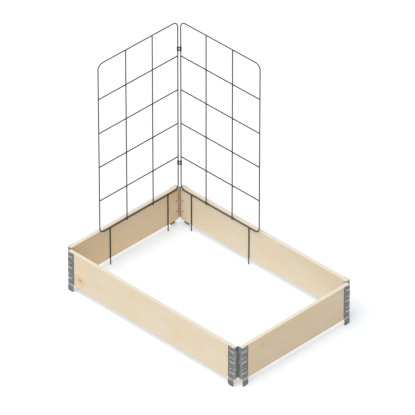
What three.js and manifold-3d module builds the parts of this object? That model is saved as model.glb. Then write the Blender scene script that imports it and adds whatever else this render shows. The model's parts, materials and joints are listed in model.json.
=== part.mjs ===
// Planter with trellis, in millimetres, +Z up. The origin is on the floor, under the middle of the frame.
// Four pine boards are joined at the corners by steel hinges with pressed dimples, rivets and foot tabs,
// so the frame stands on its tabs and folds flat. Two wire trellis panels stand inside one corner, each
// against its own board, and two clips tie their corner wires together.

import * as THREE from "three";
import { mergeVertices } from "three/addons/utils/BufferGeometryUtils.js";
import Module from "manifold-3d";

const wasm = await Module();
wasm.setup();

// ---- Timber frame -----------------------------------------------------------------------------------
const FRAME_LENGTH = 1200; // over the outer faces of the short boards, along X
const FRAME_WIDTH = 800; // over the outer faces of the long boards, along Y
const BOARD_HEIGHT = 196;
const BOARD_THICKNESS = 21;
const FOOT_DROP = 35; // how far the foot tabs reach below the boards

const FIT_GAP = 0.3; // between pieces that seat on each other

// ---- Corner hinges ----------------------------------------------------------------------------------
const SHEET = 1.8; // thickness of the hinge steel
const PLATE_WIDTH = 41; // of the plate on a board's outer face
const PLATE_TOP_DROP = 1; // top edge of the plate below the top of the board
const PLATE_RISE = 11; // bottom edge of the plate above the underside of the board
const JOGGLE_OUT = 2.5; // how far the foot tab stands outwards from the plate
const TAB_INSET = 2; // edges of the foot tab inside the edges of the plate
const TAB_ROUND = 8; // of the tab's bottom corners

const PIN_RADIUS = 2.2;
const PIN_HEAD_RADIUS = 3.9;
const PIN_HEAD_HEIGHT = 2;
const PIN_TAIL_RADIUS = 3.2;
const PIN_TAIL_HEIGHT = 2;
const KNUCKLE_WALL = 1.6;
const KNUCKLE_COUNT = 5;
const KNUCKLE_SIDES = 10;
const KNUCKLE_SWEEP_GAP = 0.5; // round one leaf's knuckles, where they turn in the other leaf

// ---- Pressed dimples and rivets ---------------------------------------------------------------------
const DIMPLE_COUNT = 3; // per leaf, with a rivet in each
const DIMPLE_RADIUS = 14.5;
const DIMPLE_FLOOR_RADIUS = 8.5;
const DIMPLE_DEPTH = 3;
const DIMPLE_LAND = 1; // flat left above the top dimple, and between a dimple and the flange
const LOWEST_DIMPLE_RISE = 41; // centre of the lowest dimple above the plate's bottom edge
const DIMPLE_SIDES = 12;
const RIVET_RADIUS = 2.5;
const RIVET_HEAD_RADIUS = 4.5;
const RIVET_HEAD_HEIGHT = 1.8;
const RIVET_TAIL_RADIUS = 4;
const RIVET_TAIL_HEIGHT = 1.2;
const RIVET_SIDES = 8;
const DOME_STEPS = 2; // facets from the rim to the top of a rivet's or pin's head

// ---- Trellis panels, measured between wire centres --------------------------------------------------
const WIRE_RADIUS = 3;
const WIRE_SIDES = 10;
const PANEL_WIDTH = 544.5;
const PANEL_HEIGHT = 998;
const PANEL_CORNER_RADIUS = 32;
const CORNER_STEPS = 5; // per rounded corner of the panel's frame
const BAR_SINK = 10; // bottom bar below the top of the boards
const COLUMN_COUNT = 3;
const RUNG_COUNT = 4;
const LOWEST_RUNG_RISE = 196; // above the bottom bar
const RUNG_PITCH = 200;
const LEG_INSET = 71.5; // from the side wires
const CORNER_WIRE_OFFSET = 13.7; // a panel's corner wire from the inner face of the other panel's board

// ---- Clips ------------------------------------------------------------------------------------------
const CLIP_HEIGHT = 25;
const CLIP_WALL = 1.8;
const CLIP_TIE = 2.6; // thickness of the two ties between the rings
const CLIP_TIE_HEIGHT = 5;
const CLIP_TIE_INSET = 2; // ties inside the ends of the rings
const CLIP_MOUTH = 4.2; // slot through which a wire snaps in
const CLIP_SIDES = 12;
const UPPER_CLIP_DROP = 161; // centre of the upper clip below the top bar
const LOWER_CLIP_RISE = 159; // centre of the lower clip above the bottom bar

// ---- Places that follow from the sizes --------------------------------------------------------------
const BOARD_TOP = FOOT_DROP + BOARD_HEIGHT;
const KNUCKLE_RADIUS = PIN_RADIUS + FIT_GAP + KNUCKLE_WALL;
const PIN_INSET = BOARD_THICKNESS + KNUCKLE_RADIUS + FIT_GAP; // pin axis inside the boards' outer faces
const PIN_X = FRAME_LENGTH / 2 - PIN_INSET;
const PIN_Y = FRAME_WIDTH / 2 - PIN_INSET;
const FLANGE_FAR = -FIT_GAP - SHEET; // far face of the flange over a board's end, from the pin axis
const BOARD_SETBACK = FIT_GAP - FLANGE_FAR; // a board's end from the pin axis
const PLATE_BOTTOM = FOOT_DROP + PLATE_RISE;
const PLATE_TOP = BOARD_TOP - PLATE_TOP_DROP;
const PLATE_NEAR = -FIT_GAP; // near edge of the plate, from the pin axis
const PLATE_FAR = PLATE_NEAR - PLATE_WIDTH;
const PLATE_BACK = PIN_INSET + FIT_GAP; // inner side of the plate, from the pin axis
const PLATE_FACE = PLATE_BACK + SHEET;
const DIMPLE_AXIS = FLANGE_FAR - DIMPLE_LAND - DIMPLE_RADIUS; // from the pin axis
const TOP_DIMPLE = PLATE_TOP - DIMPLE_LAND - DIMPLE_RADIUS;
const LOWEST_DIMPLE = PLATE_BOTTOM + LOWEST_DIMPLE_RISE;
const DIMPLE_PITCH = (TOP_DIMPLE - LOWEST_DIMPLE) / (DIMPLE_COUNT - 1);
const RIVET_HOLE_RADIUS = RIVET_RADIUS + FIT_GAP;
const KNUCKLE_LENGTH = (PLATE_TOP - PLATE_BOTTOM) / KNUCKLE_COUNT;

const PANEL_STANDOFF = WIRE_RADIUS + FIT_GAP; // the panel frame's wire from its board
const WIRE_STEP = 2 * WIRE_RADIUS + FIT_GAP; // from one layer of wires to the next
const BOTTOM_BAR = BOARD_TOP - BAR_SINK;
const TOP_BAR = BOTTOM_BAR + PANEL_HEIGHT;
const INNER_X = FRAME_LENGTH / 2 - BOARD_THICKNESS;
const INNER_Y = FRAME_WIDTH / 2 - BOARD_THICKNESS;

const PINE = new THREE.MeshStandardMaterial({ color: 0xe3cda6, roughness: 0.75, metalness: 0 });
const GALVANISED = new THREE.MeshStandardMaterial({ color: 0x8c8a87, roughness: 0.45, metalness: 0.85 });
const BLACK_WIRE = new THREE.MeshStandardMaterial({ color: 0x2b2b2b, roughness: 0.5, metalness: 0.1 });
const BLACK_PLASTIC = new THREE.MeshStandardMaterial({ color: 0x242424, roughness: 0.6, metalness: 0 });

// ---- Solids -----------------------------------------------------------------------------------------

// A closed geometry as a solid: shared corners merged, and the slivers at a lathe's poles left out.
function solid(geometry) {
  const bare = geometry.clone();
  bare.deleteAttribute("normal");
  bare.deleteAttribute("uv");
  const merged = mergeVertices(bare, 1e-4);
  const corners = [];
  for (let i = 0; i < merged.index.count; i += 3) {
    const face = [0, 1, 2].map((k) => merged.index.getX(i + k));
    if (new Set(face).size === 3) corners.push(...face);
  }
  const vertProperties = new Float32Array(merged.attributes.position.array);
  const triVerts = new Uint32Array(corners);
  return new wasm.Manifold(new wasm.Mesh({ numProp: 3, vertProperties, triVerts }));
}

function geometryOf(shape) {
  const { vertProperties, triVerts, numProp } = shape.getMesh();
  const places = new Float32Array((vertProperties.length / numProp) * 3);
  for (let i = 0; i < places.length / 3; i += 1) {
    for (let k = 0; k < 3; k += 1) places[i * 3 + k] = vertProperties[i * numProp + k];
  }
  const geometry = new THREE.BufferGeometry();
  geometry.setAttribute("position", new THREE.BufferAttribute(places, 3));
  geometry.setIndex(new THREE.BufferAttribute(new Uint32Array(triVerts), 1));
  geometry.computeVertexNormals();
  return geometry;
}

// A box between two corners.
function block(low, high) {
  const size = high.map((value, k) => value - low[k]);
  const geometry = new THREE.BoxGeometry(...size);
  return solid(geometry.translate(...low.map((value, k) => value + size[k] / 2)));
}

// An upright cylinder round the local Z axis.
function post(radius, low, high, sides) {
  const geometry = new THREE.CylinderGeometry(radius, radius, high - low, sides);
  return solid(geometry.rotateX(Math.PI / 2).translate(0, 0, (low + high) / 2));
}

// A shape turned round the local Y axis from [radius, y] pairs that start and end on the axis.
function turned(profile, sides) {
  const points = profile.map(([radius, y]) => new THREE.Vector2(radius, y));
  return new THREE.LatheGeometry(points, sides);
}

// A dome's points as [radius, y] pairs, from its rim at y = base to its top on the axis.
function dome(radius, base, height) {
  return Array.from({ length: DOME_STEPS + 1 }, (_, i) => {
    const angle = ((Math.PI / 2) * i) / DOME_STEPS;
    return [radius * Math.cos(angle), base + height * Math.sin(angle)];
  });
}

function outline(points) {
  return new THREE.Shape(points.map(([x, y]) => new THREE.Vector2(x, y)));
}

function dimpleHeights() {
  return Array.from({ length: DIMPLE_COUNT }, (_, i) => LOWEST_DIMPLE + i * DIMPLE_PITCH);
}

// The cone of a dimple, its wide end at y = face, pointing towards -Y.
function dimpleCone(face) {
  const profile = [
    [0, face - DIMPLE_DEPTH],
    [DIMPLE_FLOOR_RADIUS, face - DIMPLE_DEPTH],
    [DIMPLE_RADIUS, face],
    [0, face],
  ];
  return solid(turned(profile, DIMPLE_SIDES));
}

function rivetHole(from, to) {
  const profile = [[0, from], [RIVET_HOLE_RADIUS, from], [RIVET_HOLE_RADIUS, to], [0, to]];
  return solid(turned(profile, RIVET_SIDES));
}

// ---- Boards -----------------------------------------------------------------------------------------

// A board with its outer face at y = 0 and its underside at z = 0. Cone-shaped pockets take the hinge
// plates' dimples, and a hole behind each pocket takes the rivet.
function boardGeometry(length) {
  let board = block([-length / 2, -BOARD_THICKNESS, 0], [length / 2, 0, BOARD_HEIGHT]);
  const pinToRivet = length / 2 + BOARD_SETBACK + DIMPLE_AXIS;
  for (const side of [-1, 1]) {
    for (const height of dimpleHeights()) {
      const place = [side * pinToRivet, 0, height - FOOT_DROP];
      board = board.subtract(dimpleCone(0).translate(place));
      board = board.subtract(rivetHole(-BOARD_THICKNESS - 1, 1).translate(place));
    }
  }
  return geometryOf(board);
}

function boards() {
  const group = new THREE.Group();
  const long = boardGeometry(2 * (PIN_X - BOARD_SETBACK));
  const short = boardGeometry(2 * (PIN_Y - BOARD_SETBACK));
  const places = [
    ["board_back", long, [0, FRAME_WIDTH / 2], 0],
    ["board_front", long, [0, -FRAME_WIDTH / 2], Math.PI],
    ["board_right", short, [FRAME_LENGTH / 2, 0], -Math.PI / 2],
    ["board_left", short, [-FRAME_LENGTH / 2, 0], Math.PI / 2],
  ];
  for (const [name, geometry, [x, y], turn] of places) {
    const board = new THREE.Mesh(geometry, PINE);
    board.name = name;
    board.position.set(x, y, FOOT_DROP);
    board.rotation.z = turn;
    group.add(board);
  }
  return group;
}

// ---- Hinges -----------------------------------------------------------------------------------------

// Sheet with its joggle and foot tab, seen from the board's end: [outwards, up], with its far side on
// the board, then cut to the plate's outline.
function plateSheet() {
  const side = outline([
    [PLATE_BACK, PLATE_TOP],
    [PLATE_BACK, PLATE_BOTTOM],
    [PLATE_BACK + JOGGLE_OUT, FOOT_DROP],
    [PLATE_BACK + JOGGLE_OUT, 0],
    [PLATE_FACE + JOGGLE_OUT, 0],
    [PLATE_FACE + JOGGLE_OUT, FOOT_DROP],
    [PLATE_FACE, PLATE_BOTTOM],
    [PLATE_FACE, PLATE_TOP],
  ]);
  const strip = new THREE.ExtrudeGeometry(side, { depth: PLATE_WIDTH, bevelEnabled: false });
  strip.rotateX(Math.PI / 2).rotateZ(Math.PI / 2).translate(PLATE_FAR, 0, 0);
  return solid(strip);
}

// The plate and its narrower tab, whose bottom corners are rounded.
function plateOutline() {
  const near = PLATE_NEAR - TAB_INSET;
  const far = PLATE_FAR + TAB_INSET;
  const shape = new THREE.Shape();
  shape.moveTo(PLATE_NEAR, PLATE_TOP);
  shape.lineTo(PLATE_NEAR, PLATE_BOTTOM);
  shape.lineTo(near, PLATE_BOTTOM);
  shape.lineTo(near, TAB_ROUND);
  shape.quadraticCurveTo(near, 0, near - TAB_ROUND, 0);
  shape.lineTo(far + TAB_ROUND, 0);
  shape.quadraticCurveTo(far, 0, far, TAB_ROUND);
  shape.lineTo(far, PLATE_BOTTOM);
  shape.lineTo(PLATE_FAR, PLATE_BOTTOM);
  shape.lineTo(PLATE_FAR, PLATE_TOP);
  const depth = 2 * (PLATE_FACE + JOGGLE_OUT);
  const cutter = new THREE.ExtrudeGeometry(shape, { depth, bevelEnabled: false, curveSegments: 3 });
  return solid(cutter.rotateX(Math.PI / 2).translate(0, depth, 0));
}

// One knuckle's place, from the bottom: every other knuckle belongs to the same leaf.
function knuckle(index, radius, gap) {
  const low = PLATE_BOTTOM + index * KNUCKLE_LENGTH;
  return post(radius, low + gap, low + KNUCKLE_LENGTH - gap, KNUCKLE_SIDES);
}

// The leaf on the board behind the corner, with the pin axis at x = 0, y = 0: a plate on the outer face,
// a flange over the board's end, and the knuckles that start with the given one.
function leafSolid(firstKnuckle) {
  let leaf = plateSheet().intersect(plateOutline());
  leaf = leaf.add(block([FLANGE_FAR, 0, PLATE_BOTTOM], [PLATE_NEAR, PLATE_BACK + SHEET / 2, PLATE_TOP]));
  for (const height of dimpleHeights()) {
    const place = [DIMPLE_AXIS, 0, height];
    leaf = leaf.add(dimpleCone(PLATE_BACK).translate(place));
    leaf = leaf.subtract(dimpleCone(PLATE_FACE).translate(place));
    leaf = leaf.subtract(rivetHole(PLATE_BACK - 2 * DIMPLE_DEPTH, PLATE_FACE).translate(place));
  }
  for (let i = 0; i < KNUCKLE_COUNT; i += 1) {
    if (i % 2 === firstKnuckle) {
      leaf = leaf.add(knuckle(i, KNUCKLE_RADIUS, FIT_GAP / 2));
    } else {
      leaf = leaf.subtract(knuckle(i, KNUCKLE_RADIUS + KNUCKLE_SWEEP_GAP, -FIT_GAP / 2));
    }
  }
  return leaf.subtract(post(PIN_RADIUS + FIT_GAP, 0, 2 * BOARD_TOP, KNUCKLE_SIDES));
}

function pinGeometry() {
  const tail = PLATE_BOTTOM - FIT_GAP;
  const head = PLATE_TOP + FIT_GAP;
  const profile = [
    ...dome(PIN_TAIL_RADIUS, tail, -PIN_TAIL_HEIGHT).reverse(),
    [PIN_RADIUS, tail],
    [PIN_RADIUS, head],
    ...dome(PIN_HEAD_RADIUS, head, PIN_HEAD_HEIGHT),
  ];
  return geometryOf(solid(turned(profile, KNUCKLE_SIDES).rotateX(Math.PI / 2)));
}

// A rivet along the local Y axis with the board's outer face at y = 0: a domed head on the dimple's
// floor, a shank through the board and a formed tail on the inner face.
function rivetGeometry() {
  const seat = FIT_GAP + SHEET - DIMPLE_DEPTH + FIT_GAP;
  const tail = -BOARD_THICKNESS - FIT_GAP;
  const profile = [
    ...dome(RIVET_TAIL_RADIUS, tail, -RIVET_TAIL_HEIGHT).reverse(),
    [RIVET_RADIUS, tail],
    [RIVET_RADIUS, seat],
    ...dome(RIVET_HEAD_RADIUS, seat, RIVET_HEAD_HEIGHT),
  ];
  return geometryOf(solid(turned(profile, RIVET_SIDES)));
}

// Each corner: its name, the side it lies on along X, and the side along Y.
const CORNERS = [
  ["back_left", -1, 1],
  ["back_right", 1, 1],
  ["front_left", -1, -1],
  ["front_right", 1, -1],
];

// Hinges on opposite corners are the same, turned by half a turn. The other two are mirrored.
function hinges() {
  const group = new THREE.Group();
  const long = leafSolid(0);
  const short = leafSolid(1).mirror([1, 0, 0]).rotate([0, 0, -90]);
  const asBuilt = { long: geometryOf(long), short: geometryOf(short) };
  const mirrored = {
    long: geometryOf(long.mirror([0, 1, 0])),
    short: geometryOf(short.mirror([0, 1, 0])),
  };
  const pin = pinGeometry();
  const rivet = rivetGeometry();

  for (const [corner, alongX, alongY] of CORNERS) {
    const hinge = new THREE.Group();
    hinge.position.set(alongX * PIN_X, alongY * PIN_Y, 0);
    hinge.rotation.z = alongX > 0 ? 0 : Math.PI;
    const leaves = alongX === alongY ? asBuilt : mirrored;
    const parts = [
      [`hinge_${corner}_long_leaf`, leaves.long],
      [`hinge_${corner}_short_leaf`, leaves.short],
      [`hinge_${corner}_pin`, pin],
    ];
    for (const [name, geometry] of parts) {
      const mesh = new THREE.Mesh(geometry, GALVANISED);
      mesh.name = name;
      hinge.add(mesh);
    }
    group.add(hinge);

    for (const [i, height] of dimpleHeights().entries()) {
      const onLong = new THREE.Mesh(rivet, GALVANISED);
      onLong.name = `rivet_${corner}_long_${i + 1}`;
      onLong.position.set(alongX * (PIN_X + DIMPLE_AXIS), (alongY * FRAME_WIDTH) / 2, height);
      onLong.rotation.z = alongY > 0 ? 0 : Math.PI;
      const onShort = new THREE.Mesh(rivet, GALVANISED);
      onShort.name = `rivet_${corner}_short_${i + 1}`;
      onShort.position.set((alongX * FRAME_LENGTH) / 2, alongY * (PIN_Y + DIMPLE_AXIS), height);
      onShort.rotation.z = (-alongX * Math.PI) / 2;
      group.add(onLong, onShort);
    }
  }
  return group;
}

// ---- Trellis ----------------------------------------------------------------------------------------

// A closed wire round a rectangle with rounded corners, in the local XZ plane, with one side wire at
// x = 0 and the bottom bar at z = 0. Rings of points stand only where the wire bends.
function frameWireGeometry() {
  const rings = [];
  const centres = [
    [PANEL_WIDTH - PANEL_CORNER_RADIUS, PANEL_CORNER_RADIUS, -0.25],
    [PANEL_WIDTH - PANEL_CORNER_RADIUS, PANEL_HEIGHT - PANEL_CORNER_RADIUS, 0],
    [PANEL_CORNER_RADIUS, PANEL_HEIGHT - PANEL_CORNER_RADIUS, 0.25],
    [PANEL_CORNER_RADIUS, PANEL_CORNER_RADIUS, 0.5],
  ];
  for (const [x, z, startTurn] of centres) {
    for (let step = 0; step <= CORNER_STEPS; step += 1) {
      const angle = 2 * Math.PI * (startTurn + step / CORNER_STEPS / 4);
      rings.push({ x, z, outX: Math.cos(angle), outZ: Math.sin(angle) });
    }
  }
  const places = [];
  const faces = [];
  rings.forEach(({ x, z, outX, outZ }, ring) => {
    for (let side = 0; side < WIRE_SIDES; side += 1) {
      const round = (2 * Math.PI * side) / WIRE_SIDES;
      const reach = PANEL_CORNER_RADIUS + WIRE_RADIUS * Math.cos(round);
      places.push(x + reach * outX, WIRE_RADIUS * Math.sin(round), z + reach * outZ);
      const here = ring * WIRE_SIDES;
      const next = ((ring + 1) % rings.length) * WIRE_SIDES;
      const after = (side + 1) % WIRE_SIDES;
      faces.push(here + side, here + after, next + after, here + side, next + after, next + side);
    }
  });
  const geometry = new THREE.BufferGeometry();
  geometry.setAttribute("position", new THREE.Float32BufferAttribute(places, 3));
  geometry.setIndex(faces);
  geometry.computeVertexNormals();
  return geometry;
}

// A straight wire of the given length from the local origin along +Z.
function wireGeometry(length) {
  const geometry = new THREE.CylinderGeometry(WIRE_RADIUS, WIRE_RADIUS, length, WIRE_SIDES);
  return geometry.rotateX(Math.PI / 2).translate(0, 0, length / 2);
}

// One panel in the local XZ plane with its corner wire at x = 0. The rungs lie in the frame's plane and
// end at its side wires, and the upright wires lie across them, on the side given by front.
function trellisPanel(side, front) {
  const panel = new THREE.Group();
  const add = (name, geometry, x, y, z, lying) => {
    const wire = new THREE.Mesh(geometry, BLACK_WIRE);
    wire.name = `trellis_${side}_${name}`;
    wire.position.set(x, y, z);
    if (lying) wire.rotation.y = Math.PI / 2;
    panel.add(wire);
  };
  add("frame", frameWireGeometry(), 0, 0, BOTTOM_BAR, false);

  const rung = wireGeometry(PANEL_WIDTH - 2 * PANEL_STANDOFF);
  for (let i = 0; i < RUNG_COUNT; i += 1) {
    add(`rung_${i + 1}`, rung, PANEL_STANDOFF, 0, BOTTOM_BAR + LOWEST_RUNG_RISE + i * RUNG_PITCH, true);
  }
  const upright = wireGeometry(PANEL_HEIGHT + 2 * WIRE_RADIUS);
  for (let i = 1; i < COLUMN_COUNT; i += 1) {
    const x = (i * PANEL_WIDTH) / COLUMN_COUNT;
    add(`upright_${i}`, upright, x, front * WIRE_STEP, BOTTOM_BAR - WIRE_RADIUS, false);
  }
  const leg = wireGeometry(BOTTOM_BAR - PANEL_STANDOFF);
  add("leg_1", leg, LEG_INSET, 0, 0, false);
  add("leg_2", leg, PANEL_WIDTH - LEG_INSET, 0, 0, false);
  return panel;
}

// A clip holds both panels' corner wires: two open rings joined by two ties, with its origin on the right
// panel's corner wire and its ties along +X.
function clipGeometry() {
  const apart = (CORNER_WIRE_OFFSET - PANEL_STANDOFF) * Math.SQRT2;
  const bore = WIRE_RADIUS + FIT_GAP;
  const reach = bore + 2 * CLIP_WALL; // of the mouth's cut, past the ring
  const tie = block([0, -CLIP_TIE / 2, 0], [apart, CLIP_TIE / 2, CLIP_TIE_HEIGHT]);
  let clip = tie.translate([0, 0, CLIP_TIE_INSET]);
  clip = clip.add(tie.translate([0, 0, CLIP_HEIGHT - CLIP_TIE_INSET - CLIP_TIE_HEIGHT]));
  for (const [x, outwards] of [[0, -1], [apart, 1]]) {
    clip = clip.add(post(bore + CLIP_WALL, 0, CLIP_HEIGHT, CLIP_SIDES).translate([x, 0, 0]));
    clip = clip.subtract(post(bore, -1, CLIP_HEIGHT + 1, CLIP_SIDES).translate([x, 0, 0]));
    const cut = block([0, -CLIP_MOUTH / 2, -1], [reach, CLIP_MOUTH / 2, CLIP_HEIGHT + 1]);
    clip = clip.subtract(cut.translate([outwards > 0 ? x : x - reach, 0, 0]));
  }
  return geometryOf(clip);
}

function trellis() {
  const group = new THREE.Group();
  const left = trellisPanel("left", 1);
  left.position.set(-INNER_X + PANEL_STANDOFF, INNER_Y - CORNER_WIRE_OFFSET, 0);
  left.rotation.z = -Math.PI / 2;
  const right = trellisPanel("right", -1);
  right.position.set(-INNER_X + CORNER_WIRE_OFFSET, INNER_Y - PANEL_STANDOFF, 0);
  group.add(left, right);

  const clip = clipGeometry();
  const heights = { clip_lower: BOTTOM_BAR + LOWER_CLIP_RISE, clip_upper: TOP_BAR - UPPER_CLIP_DROP };
  for (const [name, height] of Object.entries(heights)) {
    const mesh = new THREE.Mesh(clip, BLACK_PLASTIC);
    mesh.name = name;
    mesh.position.set(right.position.x, right.position.y, height - CLIP_HEIGHT / 2);
    mesh.rotation.z = (-3 * Math.PI) / 4;
    group.add(mesh);
  }
  return group;
}

const planter = new THREE.Group();
planter.name = "planter_with_trellis";
planter.add(boards(), hinges(), trellis());

export default planter;
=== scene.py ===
"""Planter with trellis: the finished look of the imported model, in metres, in the model's own frame."""

import json
import math

import bmesh
import bpy
from mathutils import Matrix, Vector

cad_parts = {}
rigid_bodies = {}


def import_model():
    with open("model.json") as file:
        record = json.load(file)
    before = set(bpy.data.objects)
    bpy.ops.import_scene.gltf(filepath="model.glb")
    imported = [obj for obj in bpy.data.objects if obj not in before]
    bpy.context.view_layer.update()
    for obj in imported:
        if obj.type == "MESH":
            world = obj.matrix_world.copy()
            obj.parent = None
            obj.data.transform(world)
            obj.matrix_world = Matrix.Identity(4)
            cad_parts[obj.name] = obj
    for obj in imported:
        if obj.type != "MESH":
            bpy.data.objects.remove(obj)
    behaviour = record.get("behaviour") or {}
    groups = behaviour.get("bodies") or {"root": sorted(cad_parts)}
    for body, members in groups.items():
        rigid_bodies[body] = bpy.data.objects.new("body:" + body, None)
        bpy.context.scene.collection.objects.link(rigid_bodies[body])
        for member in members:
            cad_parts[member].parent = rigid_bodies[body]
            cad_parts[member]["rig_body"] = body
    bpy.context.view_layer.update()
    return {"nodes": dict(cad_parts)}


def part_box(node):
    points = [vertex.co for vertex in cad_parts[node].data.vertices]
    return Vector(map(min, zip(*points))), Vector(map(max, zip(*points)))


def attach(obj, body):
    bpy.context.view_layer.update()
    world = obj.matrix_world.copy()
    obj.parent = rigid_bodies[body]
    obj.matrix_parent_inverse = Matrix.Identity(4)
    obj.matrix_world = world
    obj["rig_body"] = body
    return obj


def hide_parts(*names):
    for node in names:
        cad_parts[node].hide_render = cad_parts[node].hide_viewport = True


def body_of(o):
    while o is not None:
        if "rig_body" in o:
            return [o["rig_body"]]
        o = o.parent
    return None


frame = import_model()

MM = 0.001

# ---- Sizes that the new pieces share with the CAD, in metres ---------------------------------------------
BOARD_THICKNESS = 21 * MM
PIN_X, PIN_Y = 574.6 * MM, 374.6 * MM
SHEET = 1.8 * MM
PLATE_TOP, PLATE_BOTTOM = 230 * MM, 46 * MM
JOGGLE_TOP, JOGGLE_BOTTOM = 48 * MM, 33 * MM  # where the foot tab steps outwards
PLATE_FAR, PLATE_NEAR = -41.3 * MM, -0.3 * MM  # along the board from the pin axis
PLATE_MIDDLE = 26.6 * MM  # middle of the plate's sheet outwards from the pin axis
JOGGLE_OUT = 2.5 * MM
TAB_INSET = 2 * MM  # of the foot tab from the plate's far edge
TAB_ROUND = 8 * MM
KNUCKLE_COUNT = 5
KNUCKLE_GAP = 0.15 * MM
DIMPLE_AXIS = -17.6 * MM
DIMPLE_HEIGHTS = [87 * MM, 150.75 * MM, 214.5 * MM]
DIMPLE_RADIUS, DIMPLE_FLOOR, DIMPLE_DEPTH = 14.5 * MM, 8.5 * MM, 3 * MM
WIRE_RADIUS = 3 * MM
PANEL_CORNER_RADIUS = 32 * MM
CLIP_BORE, CLIP_WALL, CLIP_MOUTH = 3.3 * MM, 1.8 * MM, 4.2 * MM
CLIP_TIE = (2.6 * MM, 5 * MM, 2 * MM)  # thickness, height, and inset from the ends of the rings
PIN_SHANK, PIN_TAIL, PIN_HEAD = 2.2 * MM, (3.2 * MM, 2 * MM), (3.9 * MM, 2 * MM)  # domes: radius, height
RIVET_SHANK, RIVET_TAIL, RIVET_HEAD = 2.5 * MM, (4 * MM, 1.2 * MM), (4.5 * MM, 1.8 * MM)
RIVET_HOLE = 2.8 * MM

# ---- Finish ----------------------------------------------------------------------------------------------
BOARD_EDGE = 1.6 * MM  # eased edges of the planed boards
POCKET_GAP = 0.6 * MM  # round a dimple, in the board
BEND_RADIUS = 1.8 * MM  # of the sheet's middle, between plate and flange
FLANGE_STOP = 6 * MM  # where the flat flange stops, outwards from the pin axis
ROLL_RADIUS = 3.25 * MM  # of the sheet's middle, round the pin
ROLL_START, ROLL_TURN = math.radians(140), math.radians(298)
FLANGE_PULL, ROLL_PULL = 1.5 * MM, 1 * MM  # handles of the curve between them
BEND_START, FLANGE_END = -3 * MM, 20 * MM  # along the sheet, with the pin axis at 0
RIM_RADIUS, RIM_WIDTH, RIM_LINE = 13.5 * MM, 2.4 * MM, 2 * MM  # painted highlight on a dimple's rim, and the highlight line that runs on from it
RIM_SHINE = {-1: 1.0, 1: 0.8}  # strength of the painted highlight on a rim's lower and upper half
# strength of the painted highlight on the flange
FLANGE_SHINE = 0.42
FLANGE_SHADE = 22 * MM  # height of the flange's top, over which its painted highlight fades out as painted shade
JOGGLE_SHINE, JOGGLE_MIDDLE, JOGGLE_WIDTH = 0.8, 39 * MM, 4 * MM  # painted highlight on the bend over the foot tab
END_WELD = (WIRE_RADIUS + 0.4 * MM, 2.4 * MM)  # a nugget's radius, and the one along its short axis
CROSS_WELD = (WIRE_RADIUS + 0.6 * MM, 2 * MM)
LEG_WELD = (WIRE_RADIUS + 0.35 * MM, 2.2 * MM)
WELD_REACH = 1 * MM  # how far a wire runs into the one that it is welded to
LEG_WELD_DROP = 0.3 * MM  # from the leg's top
WIRE_EASE = 0.5 * MM  # chamfer of a cut wire
CLIP_EASE, CLIP_TAPER = 0.6 * MM, 0.94  # eased ends of the rings
TIE_EDGE = 0.4 * MM
ROUND_SIDES = 20
WIRE_SIDES = 14
CORNER_STEPS = 12
OUTER_ARC_STEPS, INNER_ARC_STEPS = 28, 22
DIMPLE_STEPS, JOGGLE_STEPS, TAB_STEPS = 14, 6, 4
PLATE_STEPS, BEND_STEPS, FLANGE_STEPS, LEAD_STEPS, ROLL_STEPS = 16, 5, 5, 4, 20
SMOOTH_BELOW = math.radians(32)
FLAT_ABOVE = 0.999  # a board's face square to an axis has a normal with a part over this

# ---- Wood ------------------------------------------------------------------------------------------------
RING_WIDTH = 4.2 * MM
RING_WANDER, RING_RIPPLE = 45 * MM, 5 * MM
PITH_DEPTH = 60 * MM  # of the pith behind the board's middle
# depth of the painted highlight that makes the boards' top faces paler
PALE_TOP_DEPTH = 1.2 * MM
KNOT_STRETCH = (0.72, 0.12, 1)  # a knot is longer along the board and runs through it
KNOT_RAGGED = 3 * MM
# Multiples of a knot's radius: how far it lifts the rings, and where its parts start and are full
KNOT_BULGE, BULGE_REACH = 2.4, 5
HALO_REACH, HALO_FULL = 4, 0.8
CORE_REACH, CORE_FULL = 1.1, 0.4

# ---- Colours, linear, and in what shares they cover the colour below -------------------------------------
PALE_WOOD = (0.815, 0.710, 0.560)
WARM_WOOD = (0.812, 0.685, 0.490)
LATE_WOOD = (0.735, 0.570, 0.370)
STREAK = (0.560, 0.400, 0.240)
KNOT_HALO = (0.770, 0.520, 0.230, 1)
KNOT_CORE = (0.370, 0.210, 0.070, 1)
# paler, whiter colour of the top faces: a painted highlight
PALE_TOP_HIGHLIGHT = (0.757, 0.685, 0.575, 1)
STREAK_SHARE, HALO_SHARE, CORE_SHARE, PALE_TOP_HIGHLIGHT_SHARE = 0.14, 0.75, 0.8, 0.9
STEEL_DARK, STEEL_LIGHT = (0.112, 0.109, 0.106, 1), (0.262, 0.258, 0.252, 1)
# Real zinc stain, and the pale grey of the painted highlights on the leaves
STEEL_STAIN, STEEL_HIGHLIGHT = (0.215, 0.188, 0.155, 1), (0.640, 0.640, 0.630, 1)
STAIN_SHARE = 0.35
# A painted brown shade for the inner side of the knuckles, standing for the shade and the boards' warm
# bounce light in the inner corner
KNUCKLE_PAINTED_SHADE = (0.480, 0.350, 0.230, 1)
COAT_CLEAN, COAT_DUSTY = (0.016, 0.016, 0.017, 1), (0.034, 0.033, 0.032, 1)
PLASTIC_CLEAN, PLASTIC_SCUFFED = (0.013, 0.013, 0.014, 1), (0.028, 0.028, 0.028, 1)
FLOOR_PLAIN, FLOOR_SHADED = (0.88, 0.88, 0.88, 1), (0.59, 0.62, 0.66, 1)
WHITE = (1, 1, 1, 1)

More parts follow.
